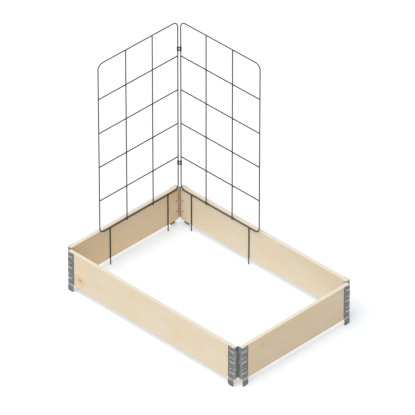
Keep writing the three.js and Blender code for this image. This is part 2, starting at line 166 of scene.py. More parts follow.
# ---- Stage, light and camera -----------------------------------------------------------------------------
FLOOR_REACH = 40.0
FLOOR_GLOW = 0.37  # lifts the floor to white where no shadow falls
SURROUNDINGS_LIGHT = 0.5
SUN_STRENGTH, SUN_WIDTH = 2.2, math.radians(50)
TOWARDS_SUN = Vector((0, -0.37, 0.93))
CAMERA_TURN, CAMERA_RISE = math.radians(44.88), math.radians(35.01)
CAMERA_DISTANCE, AIM_RIGHT, AIM_UP = 30.92626, -0.00427, 0.47042
FOCAL_PIXELS, FRAME_PIXELS = 6296.37, 415  # of the photo

# ---- Boards ----------------------------------------------------------------------------------------------
# Each board's pith under or over its middle, its tint, and its knots as (along the board, height over
# its middle, radius, darkness). The right and left boards' tints are darker and warmer as painted shade,
# because their faces in view are turned away from the light.
BOARD_LOOKS = {
    "board_front": dict(seed=3.1, pith=-0.17, tint=(0.972, 0.977, 0.985), knots=[
        (-0.491, -0.041, 11 * MM, 0.9), (0.185, -0.030, 12 * MM, 0.2), (0.350, 0.000, 8 * MM, 0.18),
        (0.465, -0.062, 9 * MM, 0.22)]),
    # painted shade: darker, warmer tint for this board's shaded outer face
    "board_right": dict(seed=7.7, pith=0.13, tint=(0.915, 0.885, 0.855), knots=[
        (-0.229, 0.046, 12 * MM, 0.5), (0.253, 0.040, 8 * MM, 0.25)]),
    "board_back": dict(seed=12.4, pith=0.19, tint=(0.993, 1.02, 1.05), knots=[
        (0.330, -0.035, 7 * MM, 0.15), (-0.140, 0.040, 6 * MM, 0.1)]),
    # painted shade: darker, warmer tint for this board's shaded inner face
    "board_left": dict(seed=18.9, pith=-0.14, tint=(0.961, 0.900, 0.826), knots=[
        (0.120, 0.020, 7 * MM, 0.15)]),
}


# ---- Nodes -----------------------------------------------------------------------------------------------

def add_node(tree, kind, inputs=(), **settings):
    """A node with its settings; each input is a plain value or another node's output."""
    made = tree.nodes.new(kind)
    for name, value in settings.items():
        setattr(made, name, value)
    for key, value in dict(inputs).items():
        if isinstance(value, bpy.types.NodeSocket):
            tree.links.new(value, made.inputs[key])
        else:
            made.inputs[key].default_value = value
    return made


def calc(tree, operation, *values):
    """A Math node's result."""
    inputs = dict(enumerate(values))
    return add_node(tree, "ShaderNodeMath", inputs, operation=operation).outputs[0]


def step(tree, value, low, high):
    """0 below low and 1 above high, smooth between them; high may be the smaller number."""
    inputs = {"Value": value, "From Min": low, "From Max": high}
    made = add_node(tree, "ShaderNodeMapRange", inputs, interpolation_type="SMOOTHSTEP")
    return made.outputs["Result"]


def between(tree, factor, low, high):
    """low where the factor is 0 and high where it is 1."""
    inputs = {"Value": factor, "To Min": low, "To Max": high}
    return add_node(tree, "ShaderNodeMapRange", inputs).outputs["Result"]


def blend_colour(tree, factor, first, second):
    """The first colour where the factor is 0 and the second where it is 1."""
    made = add_node(tree, "ShaderNodeMix", data_type="RGBA")
    for socket, value in ((made.inputs[0], factor), (made.inputs[6], first), (made.inputs[7], second)):
        if isinstance(value, bpy.types.NodeSocket):
            tree.links.new(value, socket)
        else:
            socket.default_value = value
    return made.outputs[2]


def noise(tree, place, stretch, detail=2.0):
    """Noise whose features are about 1 / stretch metres wide along each axis."""
    scaled = add_node(tree, "ShaderNodeVectorMath", {0: place, 1: stretch}, operation="MULTIPLY")
    inputs = {"Vector": scaled.outputs[0], "Scale": 1.0, "Detail": detail}
    return add_node(tree, "ShaderNodeTexNoise", inputs).outputs["Fac"]


def swing(tree, factor, width):
    """The factor of 0 to 1 as a shift of half the width to either side."""
    return calc(tree, "MULTIPLY_ADD", factor, width, -width / 2)


def added_share(tree, total, part, share):
    """The total plus a share of the part."""
    return calc(tree, "ADD", total, calc(tree, "MULTIPLY", part, share))


def tinted(colour, tint):
    return tuple(a * b for a, b in zip(colour, tint)) + (1,)


def new_material(name, **uniform):
    """An empty material with one Principled shader, whose uniform values are set on its own sockets."""
    material = bpy.data.materials.new(name)
    material.use_nodes = True
    shader = material.node_tree.nodes["Principled BSDF"]
    for key, value in uniform.items():
        shader.inputs[key.replace("_", " ")].default_value = value
    return material, material.node_tree, shader


def set_bump(tree, shader, height, distance):
    bump = add_node(tree, "ShaderNodeBump", {"Height": height, "Distance": distance, "Strength": 1.0})
    tree.links.new(bump.outputs["Normal"], shader.inputs["Normal"])


# ---- Materials -------------------------------------------------------------------------------------------

def knot_fields(tree, local, knots):
    """How far the rings bulge round the knots, and the strength of the halo and of the dark core."""
    bulge = halo = core = 0.0
    for along, height, radius, darkness in knots:
        offset = add_node(tree, "ShaderNodeVectorMath", {0: local, 1: (-along, 0, -height)}).outputs[0]
        scaled = add_node(tree, "ShaderNodeVectorMath", {0: offset, 1: KNOT_STRETCH}, operation="MULTIPLY")
        length = add_node(tree, "ShaderNodeVectorMath", {0: scaled.outputs[0]}, operation="LENGTH")
        away = length.outputs["Value"]
        ragged = added_share(tree, away, noise(tree, local, (90, 90, 90)), KNOT_RAGGED)
        lifted = step(tree, away, BULGE_REACH * radius, 0)
        yellow = step(tree, ragged, HALO_REACH * radius, HALO_FULL * radius)
        dark = step(tree, ragged, CORE_REACH * radius, CORE_FULL * radius)
        bulge = added_share(tree, bulge, lifted, KNOT_BULGE * radius)
        halo = added_share(tree, halo, yellow, darkness)
        core = added_share(tree, core, dark, darkness ** 2)
    return bulge, halo, core


def pine(board, seed, pith, tint, knots):
    """Planed pine as a solid texture: growth rings round a pith along the board, fibres and knots, with a
    painted highlight that makes the top face paler.
    """
    low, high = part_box(board)
    centre, size = (low + high) / 2, high - low
    turn = math.radians(90) if size.y > size.x else 0.0
    material, tree, shader = new_material(f"pine_{board}", Specular_IOR_Level=0.3)
    place = add_node(tree, "ShaderNodeTexCoord").outputs["Object"]
    inputs = {"Vector": place, "Location": centre, "Rotation": (0, 0, turn)}
    local = add_node(tree, "ShaderNodeMapping", inputs, vector_type="TEXTURE").outputs[0]
    shifted = add_node(tree, "ShaderNodeVectorMath", {0: local, 1: (seed, 1.7 * seed, 0)}).outputs[0]

    bulge, halo, core = knot_fields(tree, local, knots)
    axes = add_node(tree, "ShaderNodeSeparateXYZ", {0: local})
    wander = swing(tree, noise(tree, shifted, (1.3, 2, 2), 1.0), RING_WANDER)
    ripple = swing(tree, noise(tree, shifted, (7, 40, 40), 3.0), RING_RIPPLE)
    rise = calc(tree, "ADD", calc(tree, "ADD", axes.outputs["Z"], wander), -pith)
    depth = calc(tree, "ADD", axes.outputs["Y"], PITH_DEPTH)
    depth_squared = calc(tree, "MULTIPLY", depth, depth)
    from_pith = calc(tree, "SQRT", calc(tree, "MULTIPLY_ADD", rise, rise, depth_squared))
    grown = calc(tree, "ADD", calc(tree, "ADD", from_pith, ripple), bulge)
    ring = calc(tree, "FRACT", calc(tree, "MULTIPLY", grown, 1 / RING_WIDTH))
    late = calc(tree, "MULTIPLY", step(tree, ring, 0.35, 0.9), step(tree, ring, 1.0, 0.93))

    fibres = noise(tree, shifted, (9, 700, 700), 3.0)
    blotches = noise(tree, shifted, (3.5, 22, 22), 3.0)
    patches = step(tree, noise(tree, shifted, (5, 11, 11), 2.0), 0.35, 0.65)
    late_share = calc(tree, "MULTIPLY", late, between(tree, blotches, 0.2, 0.7))
    early = blend_colour(tree, patches, tinted(PALE_WOOD, tint), tinted(WARM_WOOD, tint))
    colour = blend_colour(tree, late_share, early, tinted(LATE_WOOD, tint))
    streaks = step(tree, fibres, 0.5, 0.72)
    # painted highlight: the board's top face is paler and whiter
    pale_top_highlight = step(tree, axes.outputs["Z"], size.z / 2 - PALE_TOP_DEPTH, size.z / 2 - 0.2 * MM)
    covers = ((streaks, STREAK_SHARE, tinted(STREAK, tint)), (halo, HALO_SHARE, KNOT_HALO),
              (core, CORE_SHARE, KNOT_CORE), (pale_top_highlight, PALE_TOP_HIGHLIGHT_SHARE, PALE_TOP_HIGHLIGHT))
    for field, share, cover in covers:
        colour = blend_colour(tree, calc(tree, "MULTIPLY", field, share), colour, cover)
    tree.links.new(colour, shader.inputs["Base Color"])
    tree.links.new(between(tree, fibres, 0.62, 0.86), shader.inputs["Roughness"])
    set_bump(tree, shader, calc(tree, "MULTIPLY_ADD", late, 0.5, fibres), 0.25 * MM)
    return material


def galvanised_steel():
    """Dull zinc with flat spangles a few millimetres wide; as the leaves' vertex attributes say, it is
    lightened to a painted highlight on the dimples' rims, the flange and the joggle, and tinted to a
    painted brown shade inside the knuckles."""
    material, tree, shader = new_material("galvanised_steel_aged_painted_light", Metallic=0.72)
    place = add_node(tree, "ShaderNodeTexCoord").outputs["Object"]
    cells = add_node(tree, "ShaderNodeTexVoronoi", {"Vector": place, "Scale": 170.0, "Randomness": 1.0})
    shade = add_node(tree, "ShaderNodeSeparateXYZ", {0: cells.outputs["Color"]}).outputs[0]
    stain = noise(tree, place, (60, 60, 60), 4.0)
    mottled = calc(tree, "MULTIPLY_ADD", shade, 0.5, calc(tree, "MULTIPLY", stain, 0.5))
    colour = blend_colour(tree, mottled, STEEL_DARK, STEEL_LIGHT)
    stained = calc(tree, "MULTIPLY", step(tree, stain, 0.56, 0.75), STAIN_SHARE)
    colour = blend_colour(tree, stained, colour, STEEL_STAIN)
    # Painted highlight: the dimples' rims, the flange and the joggle are lightened towards pale grey, in
    # patches.
    painted_sheen = add_node(tree, "ShaderNodeAttribute", attribute_name="painted_sheen").outputs["Fac"]
    patchy = calc(tree, "MULTIPLY", painted_sheen, between(tree, stain, 0.35, 1.2))
    colour = blend_colour(tree, patchy, colour, STEEL_HIGHLIGHT)
    # Painted shade: the inner side of the knuckles is tinted brown, for the shade and warm bounce light of
    # the boards in the inner corner.
    dust_and_painted_shade = add_node(tree, "ShaderNodeAttribute", attribute_name="dust_and_painted_shade").outputs["Fac"]
    colour = blend_colour(tree, dust_and_painted_shade, colour, KNUCKLE_PAINTED_SHADE)
    tree.links.new(colour, shader.inputs["Base Color"])
    tree.links.new(between(tree, mottled, 0.52, 0.34), shader.inputs["Roughness"])
    set_bump(tree, shader, noise(tree, place, (900, 900, 900), 2.0), 0.04 * MM)
    return material


def powder_coat():
    """Black powder coat on wire: a fine orange peel, a little duller and dustier in places."""
    material, tree, shader = new_material("black_powder_coat", Specular_IOR_Level=0.5)
    place = add_node(tree, "ShaderNodeTexCoord").outputs["Object"]
    dust_and_painted_shade = noise(tree, place, (30, 30, 18), 4.0)
    dusty = step(tree, dust_and_painted_shade, 0.45, 0.75)
    colour = blend_colour(tree, dusty, COAT_CLEAN, COAT_DUSTY)
    tree.links.new(colour, shader.inputs["Base Color"])
    tree.links.new(between(tree, dusty, 0.36, 0.55), shader.inputs["Roughness"])
    set_bump(tree, shader, noise(tree, place, (650, 650, 650), 2.0), 0.08 * MM)
    return material


def moulded_plastic():
    """Matt black plastic with a fine moulded grain."""
    material, tree, shader = new_material("black_moulded_plastic", Specular_IOR_Level=0.45)
    place = add_node(tree, "ShaderNodeTexCoord").outputs["Object"]
    grain = noise(tree, place, (1400, 1400, 1400), 2.0)
    scuffs = step(tree, noise(tree, place, (120, 120, 40), 3.0), 0.5, 0.72)
    colour = blend_colour(tree, scuffs, PLASTIC_CLEAN, PLASTIC_SCUFFED)
    tree.links.new(colour, shader.inputs["Base Color"])
    tree.links.new(between(tree, scuffs, 0.46, 0.62), shader.inputs["Roughness"])
    set_bump(tree, shader, grain, 0.05 * MM)
    return material


# ---- Pieces ----------------------------------------------------------------------------------------------

def mesh_from(bm, name):
    """The bmesh as a mesh; the bmesh is freed."""
    mesh = bpy.data.meshes.new(name)
    bm.to_mesh(mesh)
    bm.free()
    return mesh


def add_object(name, data):
    made = bpy.data.objects.new(name, data)
    bpy.context.scene.collection.objects.link(made)
    return made


def finish_piece(bm, node, material):
    """Makes the mesh an object that stands for the CAD node and rides on the node's body."""
    bmesh.ops.recalc_face_normals(bm, faces=bm.faces)
    for face in bm.faces:
        face.smooth = True
    for edge in bm.edges:
        edge.smooth = edge.calc_face_angle(0.0) < SMOOTH_BELOW
    mesh = mesh_from(bm, f"{node}_form")
    mesh.materials.append(material)
    piece = add_object(f"{node}_form", mesh)
    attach(piece, body_of(frame["nodes"][node])[0])
    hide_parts(node)
    return piece


def axis_vector(axis, length):
    """A vector of that length along the axis with that number."""
    vector = Vector((0, 0, 0))
    vector[axis] = length
    return vector


def facing(place, direction):
    """The matrix that moves the origin to the place and turns Z to the direction."""
    return Matrix.Translation(place) @ direction.to_track_quat("Z", "Y").to_matrix().to_4x4()


def add_turned(bm, profile, matrix):
    """A closed turned shape from (radius, height) pairs that start and end on the local Z axis."""
    rings = []
    for radius, height in profile:
        count = ROUND_SIDES if radius > 0 else 1
        turns = [2 * math.pi * k / ROUND_SIDES for k in range(count)]
        points = [Vector((radius * math.cos(t), radius * math.sin(t), height)) for t in turns]
        rings.append([bm.verts.new(matrix @ point) for point in points])
    for first, second in zip(rings, rings[1:]):
        for k in range(ROUND_SIDES):
            corners = [first[k % len(first)], first[(k + 1) % len(first)],
                       second[(k + 1) % len(second)], second[k % len(second)]]
            bm.faces.new(list(dict.fromkeys(corners)))


def dome(radius, height, base):
    """(radius, height) pairs from a dome's rim at the base to its top on the axis."""
    steps = 5
    turns = [math.pi / 2 * k / steps for k in range(steps)]
    rim_to_top = [(radius * math.cos(t), base + height * math.sin(t)) for t in turns]
    return rim_to_top + [(0, base + height)]


def headed_shank(length, shank, tail, head):
    """Profile of a shank from 0 up, with a dome of (radius, height) at either end."""
    tail_base, head_base = tail[1], length - head[1]
    lower = [(radius, 2 * tail_base - height) for radius, height in dome(*tail, tail_base)]
    return lower[::-1] + [(shank, tail_base), (shank, head_base)] + dome(*head, head_base)


def make_board(node, material):
    """A planed board with eased edges, pockets for the dimples and holes for the rivets."""
    low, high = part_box(node)
    middle, size = (low + high) / 2, high - low
    bm = bmesh.new()
    bmesh.ops.create_cube(bm, size=1.0, matrix=Matrix.LocRotScale(middle, None, size))
    bmesh.ops.bevel(bm, geom=bm.edges[:], offset=BOARD_EDGE, segments=3, profile=0.5, affect="EDGES")
    cutters = bmesh.new()
    along = 0 if size.x > size.y else 1
    across = 1 - along
    outer = high[across] if middle[across] > 0 else low[across]
    inwards = axis_vector(across, -math.copysign(1, outer))
    rivet_place = (PIN_X, PIN_Y)[along] + DIMPLE_AXIS
    wide, narrow, deep = DIMPLE_RADIUS + POCKET_GAP, DIMPLE_FLOOR + POCKET_GAP, DIMPLE_DEPTH + 0.1 * MM
    through = BOARD_THICKNESS + MM
    pocket = [(0, -MM), (wide, -MM), (wide, 0), (narrow, deep), (RIVET_HOLE, deep), (RIVET_HOLE, through),
              (0, through)]
    for side in (-1, 1):
        for height in DIMPLE_HEIGHTS:
            place = Vector((0, 0, height))
            place[along], place[across] = side * rivet_place, outer
            add_turned(cutters, pocket, facing(place, inwards))
    bmesh.ops.recalc_face_normals(cutters, faces=cutters.faces)
    cutter_mesh = mesh_from(cutters, "cutter")
    cutter = add_object("cutter", cutter_mesh)

    board = finish_piece(bm, node, material)
    pockets = board.modifiers.new("pockets", "BOOLEAN")
    pockets.operation, pockets.solver, pockets.object = "DIFFERENCE", "EXACT", cutter
    cut = board.evaluated_get(bpy.context.evaluated_depsgraph_get())
    uncut = board.data
    board.data = bpy.data.meshes.new_from_object(cut)
    board.modifiers.remove(pockets)
    bpy.data.objects.remove(cutter)
    bpy.data.meshes.remove(cutter_mesh)
    bpy.data.meshes.remove(uncut)
    board.data.name = f"{node}_form"
    for face in board.data.polygons:
        face.use_smooth = max(abs(part) for part in face.normal) < FLAT_ABOVE


def on_circle(radius, turn):
    """The point of a circle round the origin at that angle from X."""
    return radius * Vector((math.cos(turn), math.sin(turn)))


def steps_between(start, end, count):
    """The points that cut the way from start to end into count equal steps, without the start."""
    return [start + (end - start) * k / count for k in range(1, count + 1)]


def curve_between(a, b, c, d, count):
    """The inner points of a cubic curve from a to d that is cut into count steps."""
    points = []
    for k in range(1, count):
        t = k / count
        points.append((1 - t) ** 3 * a + 3 * (1 - t) ** 2 * t * b + 3 * (1 - t) * t * t * c + t ** 3 * d)
    return points


def sheet_path():
    """The leaf's sheet seen from above, as the middle line from the plate's far edge round the pin.

    Returns the points, how many of them lie on the flat plate, and how many before the roll."""
    bend = Vector((PLATE_NEAR - SHEET / 2 - BEND_RADIUS, PLATE_MIDDLE - BEND_RADIUS))
    tab_edge = PLATE_FAR + TAB_INSET
    flats = [PLATE_FAR, tab_edge] + steps_between(tab_edge, bend.x, PLATE_STEPS)
    points = [Vector((x, PLATE_MIDDLE)) for x in flats]
    flat_count = len(points)
    bend_turns = steps_between(math.pi / 2, 0.0, BEND_STEPS)
    points += [bend + on_circle(BEND_RADIUS, turn) for turn in bend_turns]
    flange_x = points[-1].x
    points += [Vector((flange_x, y)) for y in steps_between(bend.y, FLANGE_STOP, FLANGE_STEPS)]
    sheet_count = len(points)
    flange_end, roll_entry = points[-1], on_circle(ROLL_RADIUS, ROLL_START)
    heading = Vector((-math.sin(ROLL_START), math.cos(ROLL_START)))
    handles = flange_end - Vector((0, FLANGE_PULL)), roll_entry - heading * ROLL_PULL
    points += curve_between(flange_end, *handles, roll_entry, LEAD_STEPS)
    roll_turns = [ROLL_START + ROLL_TURN * k / ROLL_STEPS for k in range(ROLL_STEPS + 1)]
    points += [on_circle(ROLL_RADIUS, turn) for turn in roll_turns]
    return points, flat_count, sheet_count


def sheet_rows(first_knuckle):
    """Heights of the sheet's rows from the bottom, each with whether the knuckle's roll stands above it.

    The lowest rows are close together, because the foot tab's round corners start level there."""
    heights = [TAB_ROUND * share for share in (0, 0.06, 0.2, 0.4, 0.65, 1)]
    heights += steps_between(TAB_ROUND, JOGGLE_BOTTOM, TAB_STEPS)
    heights += steps_between(JOGGLE_BOTTOM, PLATE_BOTTOM, JOGGLE_STEPS)[:-1]
    rows = [(height, False) for height in heights]
    length = (PLATE_TOP - PLATE_BOTTOM) / KNUCKLE_COUNT
    for index in range(KNUCKLE_COUNT):
        low = PLATE_BOTTOM + index * length
        mine = index % 2 == first_knuckle
        rows.append((low, False))
        rows.append((low + KNUCKLE_GAP, mine))
        rows += [(height, mine) for height in steps_between(low, low + length, DIMPLE_STEPS)[:-1]]
        rows.append((low + length - KNUCKLE_GAP, False))
    rows.append((PLATE_TOP, False))
    return rows


def smooth(t):
    """0 below 0 and 1 above 1, smooth between them."""
    t = min(max(t, 0.0), 1.0)
    return t * t * (3 - 2 * t)


def bell(offset, width):
    """1 at no offset, falling off on both sides."""
    return math.exp(-((offset / width) ** 2))


def painted_sheen_at(along, height):
    """How strong the painted highlight on the zinc is at a place along the sheet, whose bend starts at
    BEND_START.

    The rims of the dimples get a painted highlight, and so do the lines that run on from them over the
    bend, the flange and the joggle over the foot tab."""
    on_flange = smooth((along - BEND_START) / (2 * MM)) * smooth((FLANGE_END - along) / (4 * MM))
    # painted highlight on the flange, fading out towards its top as painted shade
    highlight = FLANGE_SHINE * on_flange * smooth((PLATE_TOP - height) / FLANGE_SHADE)
    for centre in DIMPLE_HEIGHTS:
        away = math.hypot(along - DIMPLE_AXIS, height - centre)
        for side, strength in RIM_SHINE.items():
            this_half = smooth((side * (height - centre) / max(away, MM) - 0.3) / 0.4)
            rim = bell(away - RIM_RADIUS, RIM_WIDTH) * this_half
            past = smooth((along - DIMPLE_AXIS) / (4 * MM)) * smooth((FLANGE_END - along) / (5 * MM))
            line = bell(height - centre - side * RIM_RADIUS, RIM_LINE) * past
            highlight = max(highlight, strength * max(rim, line))
    if along <= BEND_START:
        highlight = max(highlight, JOGGLE_SHINE * bell(height - JOGGLE_MIDDLE, JOGGLE_WIDTH))
    return highlight


def make_leaf(node, first_knuckle, matrix, material):
    """A pressed leaf: plate with dimples, bend, flange, rolled knuckles, joggle and foot tab."""
    path, flat_count, sheet_count = sheet_path()
    rows = sheet_rows(first_knuckle)
    tab_far, tab_near = path[1].x, path[flat_count - 1].x

    def middle(column, height):
        """The sheet's middle surface, with the tab's round corners, the joggle and the dimples."""
        x, y = path[column]
        if height < PLATE_BOTTOM:
            share = (x - tab_far) / (tab_near - tab_far)
            drop = max(0.0, 1 - height / TAB_ROUND)
            rounded = TAB_ROUND * (1 - math.sqrt(1 - drop * drop))
            x = tab_far + rounded + (tab_near - tab_far - 2 * rounded) * share
        if column < flat_count:
            y += JOGGLE_OUT * smooth((JOGGLE_TOP - height) / (JOGGLE_TOP - JOGGLE_BOTTOM))
            for centre in DIMPLE_HEIGHTS:
                away = math.hypot(x - DIMPLE_AXIS, height - centre)
                y -= DIMPLE_DEPTH * smooth((DIMPLE_RADIUS - away) / (DIMPLE_RADIUS - DIMPLE_FLOOR))
        return Vector((x, y, height))

    def present(column, row):
        """Whether the sheet has a cell right of the column and above the row."""
        height, rolled = rows[row]
        if height < PLATE_BOTTOM:
            return 1 <= column < flat_count - 1
        return column < sheet_count - 1 or rolled

    plate_start = next(j for j, (height, _) in enumerate(rows) if height >= PLATE_BOTTOM)
    grid = [[middle(i, height) for i in range(len(path))] for height, _ in rows]
    bm = bmesh.new()
    painted_sheen = bm.verts.layers.float.new("painted_sheen")
    dust_and_painted_shade = bm.verts.layers.float.new("dust_and_painted_shade")
    along = [path[0].x]
    for here, after in zip(path, path[1:]):
        along.append(along[-1] + (after - here).length)
    verts = {}

    def outwards(i, j):
        """The sheet's normal, from the neighbours that belong to the sheet."""
        on_tab = rows[j][0] < PLATE_BOTTOM
        first, last = (1, flat_count - 1) if on_tab else (0, len(path) - 1)
        across = grid[j][min(i + 1, last)] - grid[j][max(i - 1, first)]
        low, high = max(j - 1, 0), min(j + 1, len(rows) - 1)
        if not on_tab and not 1 <= i < flat_count:
            low = max(low, plate_start)
        upwards = grid[high][i] - grid[low][i]
        return upwards.cross(across).normalized()

    def vert(i, j, side):
        """The vertex on one side of the sheet, made when it is first asked for."""
        if (i, j, side) not in verts:
            made = bm.verts.new(matrix @ (grid[j][i] - side * outwards(i, j) * SHEET / 2))
            # the strength of the painted highlight at this vertex
            made[painted_sheen] = painted_sheen_at(grid[j][i].x if i < flat_count else along[i], rows[j][0])
            # the inner side of the knuckle's roll gets the painted brown shade
            inwards = (path[i].x + path[i].y) / ROLL_RADIUS if i >= sheet_count else 1
            made[dust_and_painted_shade] = smooth(0.6 - inwards)
            verts[i, j, side] = made
        return verts[i, j, side]

    last_column, last_row = len(path) - 2, len(rows) - 2
    for j in range(last_row + 1):
        for i in range(last_column + 1):
            if not present(i, j):
                continue
            for side in (-1, 1):
                corners = ((i, j), (i + 1, j), (i + 1, j + 1), (i, j + 1))
                bm.faces.new([vert(*corner, side) for corner in corners])
            edges = {(i, j, i + 1, j): j == 0 or not present(i, j - 1),
                     (i, j + 1, i + 1, j + 1): j == last_row or not present(i, j + 1),
                     (i, j, i, j + 1): i == 0 or not present(i - 1, j),
                     (i + 1, j, i + 1, j + 1): i == last_column or not present(i + 1, j)}
            for (a, b, c, d), open_edge in edges.items():
                if open_edge:
                    bm.faces.new([vert(a, b, -1), vert(c, d, -1), vert(c, d, 1), vert(a, b, 1)])
    finish_piece(bm, node, material)


def make_pin(node, material):
    """A hinge pin with a domed head on top and a formed tail below."""
    low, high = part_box(node)
    middle, size = (low + high) / 2, high - low
    bm = bmesh.new()
    profile = headed_shank(size.z, PIN_SHANK, PIN_TAIL, PIN_HEAD)
    add_turned(bm, profile, Matrix.Translation((middle.x, middle.y, low.z)))
    finish_piece(bm, node, material)


def make_rivet(node, material):
    """A rivet through leaf and board: a domed head outside and a formed tail inside."""
    low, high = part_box(node)
    middle, size = (low + high) / 2, high - low
    along = max(range(3), key=lambda k: size[k])
    outwards = axis_vector(along, math.copysign(1, middle[along]))
    bm = bmesh.new()
    profile = headed_shank(size[along], RIVET_SHANK, RIVET_TAIL, RIVET_HEAD)
    add_turned(bm, profile, facing(middle - outwards * size[along] / 2, outwards))
    finish_piece(bm, node, material)


def add_weld(bm, place, radii):
    """A small nugget where two wires are welded."""
    bmesh.ops.create_uvsphere(bm, u_segments=12, v_segments=8, radius=1.0,
                              matrix=Matrix.LocRotScale(place, None, Vector(radii)))


def add_wire_ring(bm, centre, axis, sideways, radius):
    """A ring of vertices round the wire's axis, which is square to sideways."""
    out = axis.cross(sideways)
    turns = [2 * math.pi * n / WIRE_SIDES for n in range(WIRE_SIDES)]
    return [bm.verts.new(centre + radius * (math.cos(t) * out + math.sin(t) * sideways)) for t in turns]


def bridge(bm, rings):
    """Faces between each ring of vertices and the next."""
    for first, second in zip(rings, rings[1:]):
        for n in range(len(first)):
            after = (n + 1) % len(first)
            bm.faces.new([first[n], first[after], second[after], second[n]])


def make_frame_wire(node, material):
    """A panel's closed outer wire, bent round at its four corners."""
    low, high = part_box(node)
    middle, size = (low + high) / 2, high - low
    along = 0 if size.x > size.y else 1
    sideways = axis_vector(1 - along, 1)
    corner = WIRE_RADIUS + PANEL_CORNER_RADIUS
    straight_x, straight_z = size[along] / 2 - corner, size.z / 2 - corner
    points = []
    for quarter, (right, up) in enumerate(((1, 1), (-1, 1), (-1, -1), (1, -1))):
        for k in range(CORNER_STEPS + 1):
            turn = math.pi / 2 * (quarter + k / CORNER_STEPS)
            place = Vector(middle)
            place[along] += right * straight_x + PANEL_CORNER_RADIUS * math.cos(turn)
            place.z += up * straight_z + PANEL_CORNER_RADIUS * math.sin(turn)
            points.append(place)
    bm = bmesh.new()
    rings = []
    for before, point, after in zip(points[-1:] + points, points, points[1:] + points[:1]):
        axis = (after - before).normalized()
        rings.append(add_wire_ring(bm, point, axis, sideways, WIRE_RADIUS))
    bridge(bm, rings + rings[:1])
    finish_piece(bm, node, material)


def make_straight_wire(node, material, welds, reach):
    """A straight wire between its CAD ends, lengthened by its reach at each end, with weld nuggets."""
    low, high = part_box(node)
    middle, size = (low + high) / 2, high - low
    along = max(range(3), key=lambda k: size[k])
    start, end = Vector(middle), Vector(middle)
    start[along], end[along] = low[along] - reach[0], high[along] + reach[1]
    axis, sideways = axis_vector(along, 1), axis_vector(2 if along < 2 else 0, 1)
    bm = bmesh.new()
    eased = axis * WIRE_EASE
    ends = [(start, WIRE_EASE), (start + eased, 0), (end - eased, 0), (end, WIRE_EASE)]
    rings = [add_wire_ring(bm, point, axis, sideways, WIRE_RADIUS - shrink) for point, shrink in ends]
    bridge(bm, rings)
    bm.faces.new(rings[0])
    bm.faces.new(rings[-1])
    for place, radii in welds:
        add_weld(bm, place, radii)
    finish_piece(bm, node, material)


def weld_radii(weld, axis):
    """Radii of a nugget that is short along one axis."""
    radii = [weld[0]] * 3
    radii[axis] = weld[1]
    return radii


def make_panel(side, material):
    """One welded panel: outer wire, rungs, upright wires and legs, with the gaps at the welds closed."""
    name = f"trellis_{side}_"
    make_frame_wire(name + "frame", material)
    low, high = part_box(name + "frame")
    along = 0 if high.x - low.x > high.y - low.y else 1
    plane = (low + high) / 2
    rungs = [f"{name}rung_{k}" for k in (1, 2, 3, 4)]
    heights = [sum(corner.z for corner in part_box(rung)) / 2 for rung in rungs]
    bars = [low.z + WIRE_RADIUS, high.z - WIRE_RADIUS]
    for rung, height in zip(rungs, heights):
        welds = []
        for edge, inwards in ((low, 1), (high, -1)):
            place = Vector(plane)
            place[along], place.z = edge[along] + inwards * 2 * WIRE_RADIUS, height
            welds.append((place, weld_radii(END_WELD, along)))
        make_straight_wire(rung, material, welds, (WELD_REACH, WELD_REACH))
    for k in (1, 2):
        upright = f"{name}upright_{k}"
        wire_low, wire_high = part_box(upright)
        centre = (wire_low + wire_high) / 2
        welds = []
        for height in heights + bars:
            place = (centre + plane) / 2
            place[along], place.z = centre[along], height
            radii = weld_radii(CROSS_WELD, 1 - along)
            if height in bars:
                radii[2] = WIRE_RADIUS  # a nugget on a bar stays inside the panel's height
            welds.append((place, radii))
        make_straight_wire(upright, material, welds, (0, 0))
    for k in (1, 2):
        leg = f"{name}leg_{k}"
        foot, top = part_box(leg)
        place = (foot + top) / 2
        place.z = top.z - LEG_WELD_DROP
        make_straight_wire(leg, material, [(place, weld_radii(LEG_WELD, 2))], (0, WELD_REACH))


def clip_ring_outline():
    """The open ring seen from above with its mouth on X: the outer arc and back along the inner one."""
    outline = []
    for radius, count in ((CLIP_BORE + CLIP_WALL, OUTER_ARC_STEPS), (CLIP_BORE, INNER_ARC_STEPS)):
        gap = math.asin(CLIP_MOUTH / 2 / radius)
        arc = [on_circle(radius, gap + (2 * math.pi - 2 * gap) * k / count) for k in range(count + 1)]
        outline += arc if radius > CLIP_BORE else arc[::-1]
    return outline


def add_clip_ring(bm, centre, opening, low, high):
    """An open ring from low to high whose ends are eased a little, with its mouth to the opening."""
    across = Vector((-opening.y, opening.x, 0))
    outline = clip_ring_outline()
    levels = ((low, CLIP_TAPER), (low + CLIP_EASE, 1), (high - CLIP_EASE, 1), (high, CLIP_TAPER))
    rings = []
    for height, taper in levels:
        ring = []
        for n, point in enumerate(outline):
            scale = taper if n <= OUTER_ARC_STEPS else 1 / taper
            place = centre + (opening * point.x + across * point.y) * scale
            ring.append(bm.verts.new((place.x, place.y, height)))
        rings.append(ring)
    bridge(bm, rings)
    for ring in (rings[0], rings[-1]):
        for n in range(INNER_ARC_STEPS):
            first, last = (round(k * OUTER_ARC_STEPS / INNER_ARC_STEPS) for k in (n, n + 1))
            bm.faces.new(ring[first:last + 1] + [ring[-2 - n], ring[-1 - n]])


def add_tie(bm, matrix, size):
    """An eased bar between the two rings of a clip."""
    tie = bmesh.new()
    bmesh.ops.create_cube(tie, size=1.0, matrix=Matrix.Diagonal((*size, 1)))
    bmesh.ops.bevel(tie, geom=tie.edges[:], offset=TIE_EDGE, segments=2, profile=0.5, affect="EDGES")
    tie.transform(matrix)
    mesh = mesh_from(tie, "tie")
    bm.from_mesh(mesh)
    bpy.data.meshes.remove(mesh)


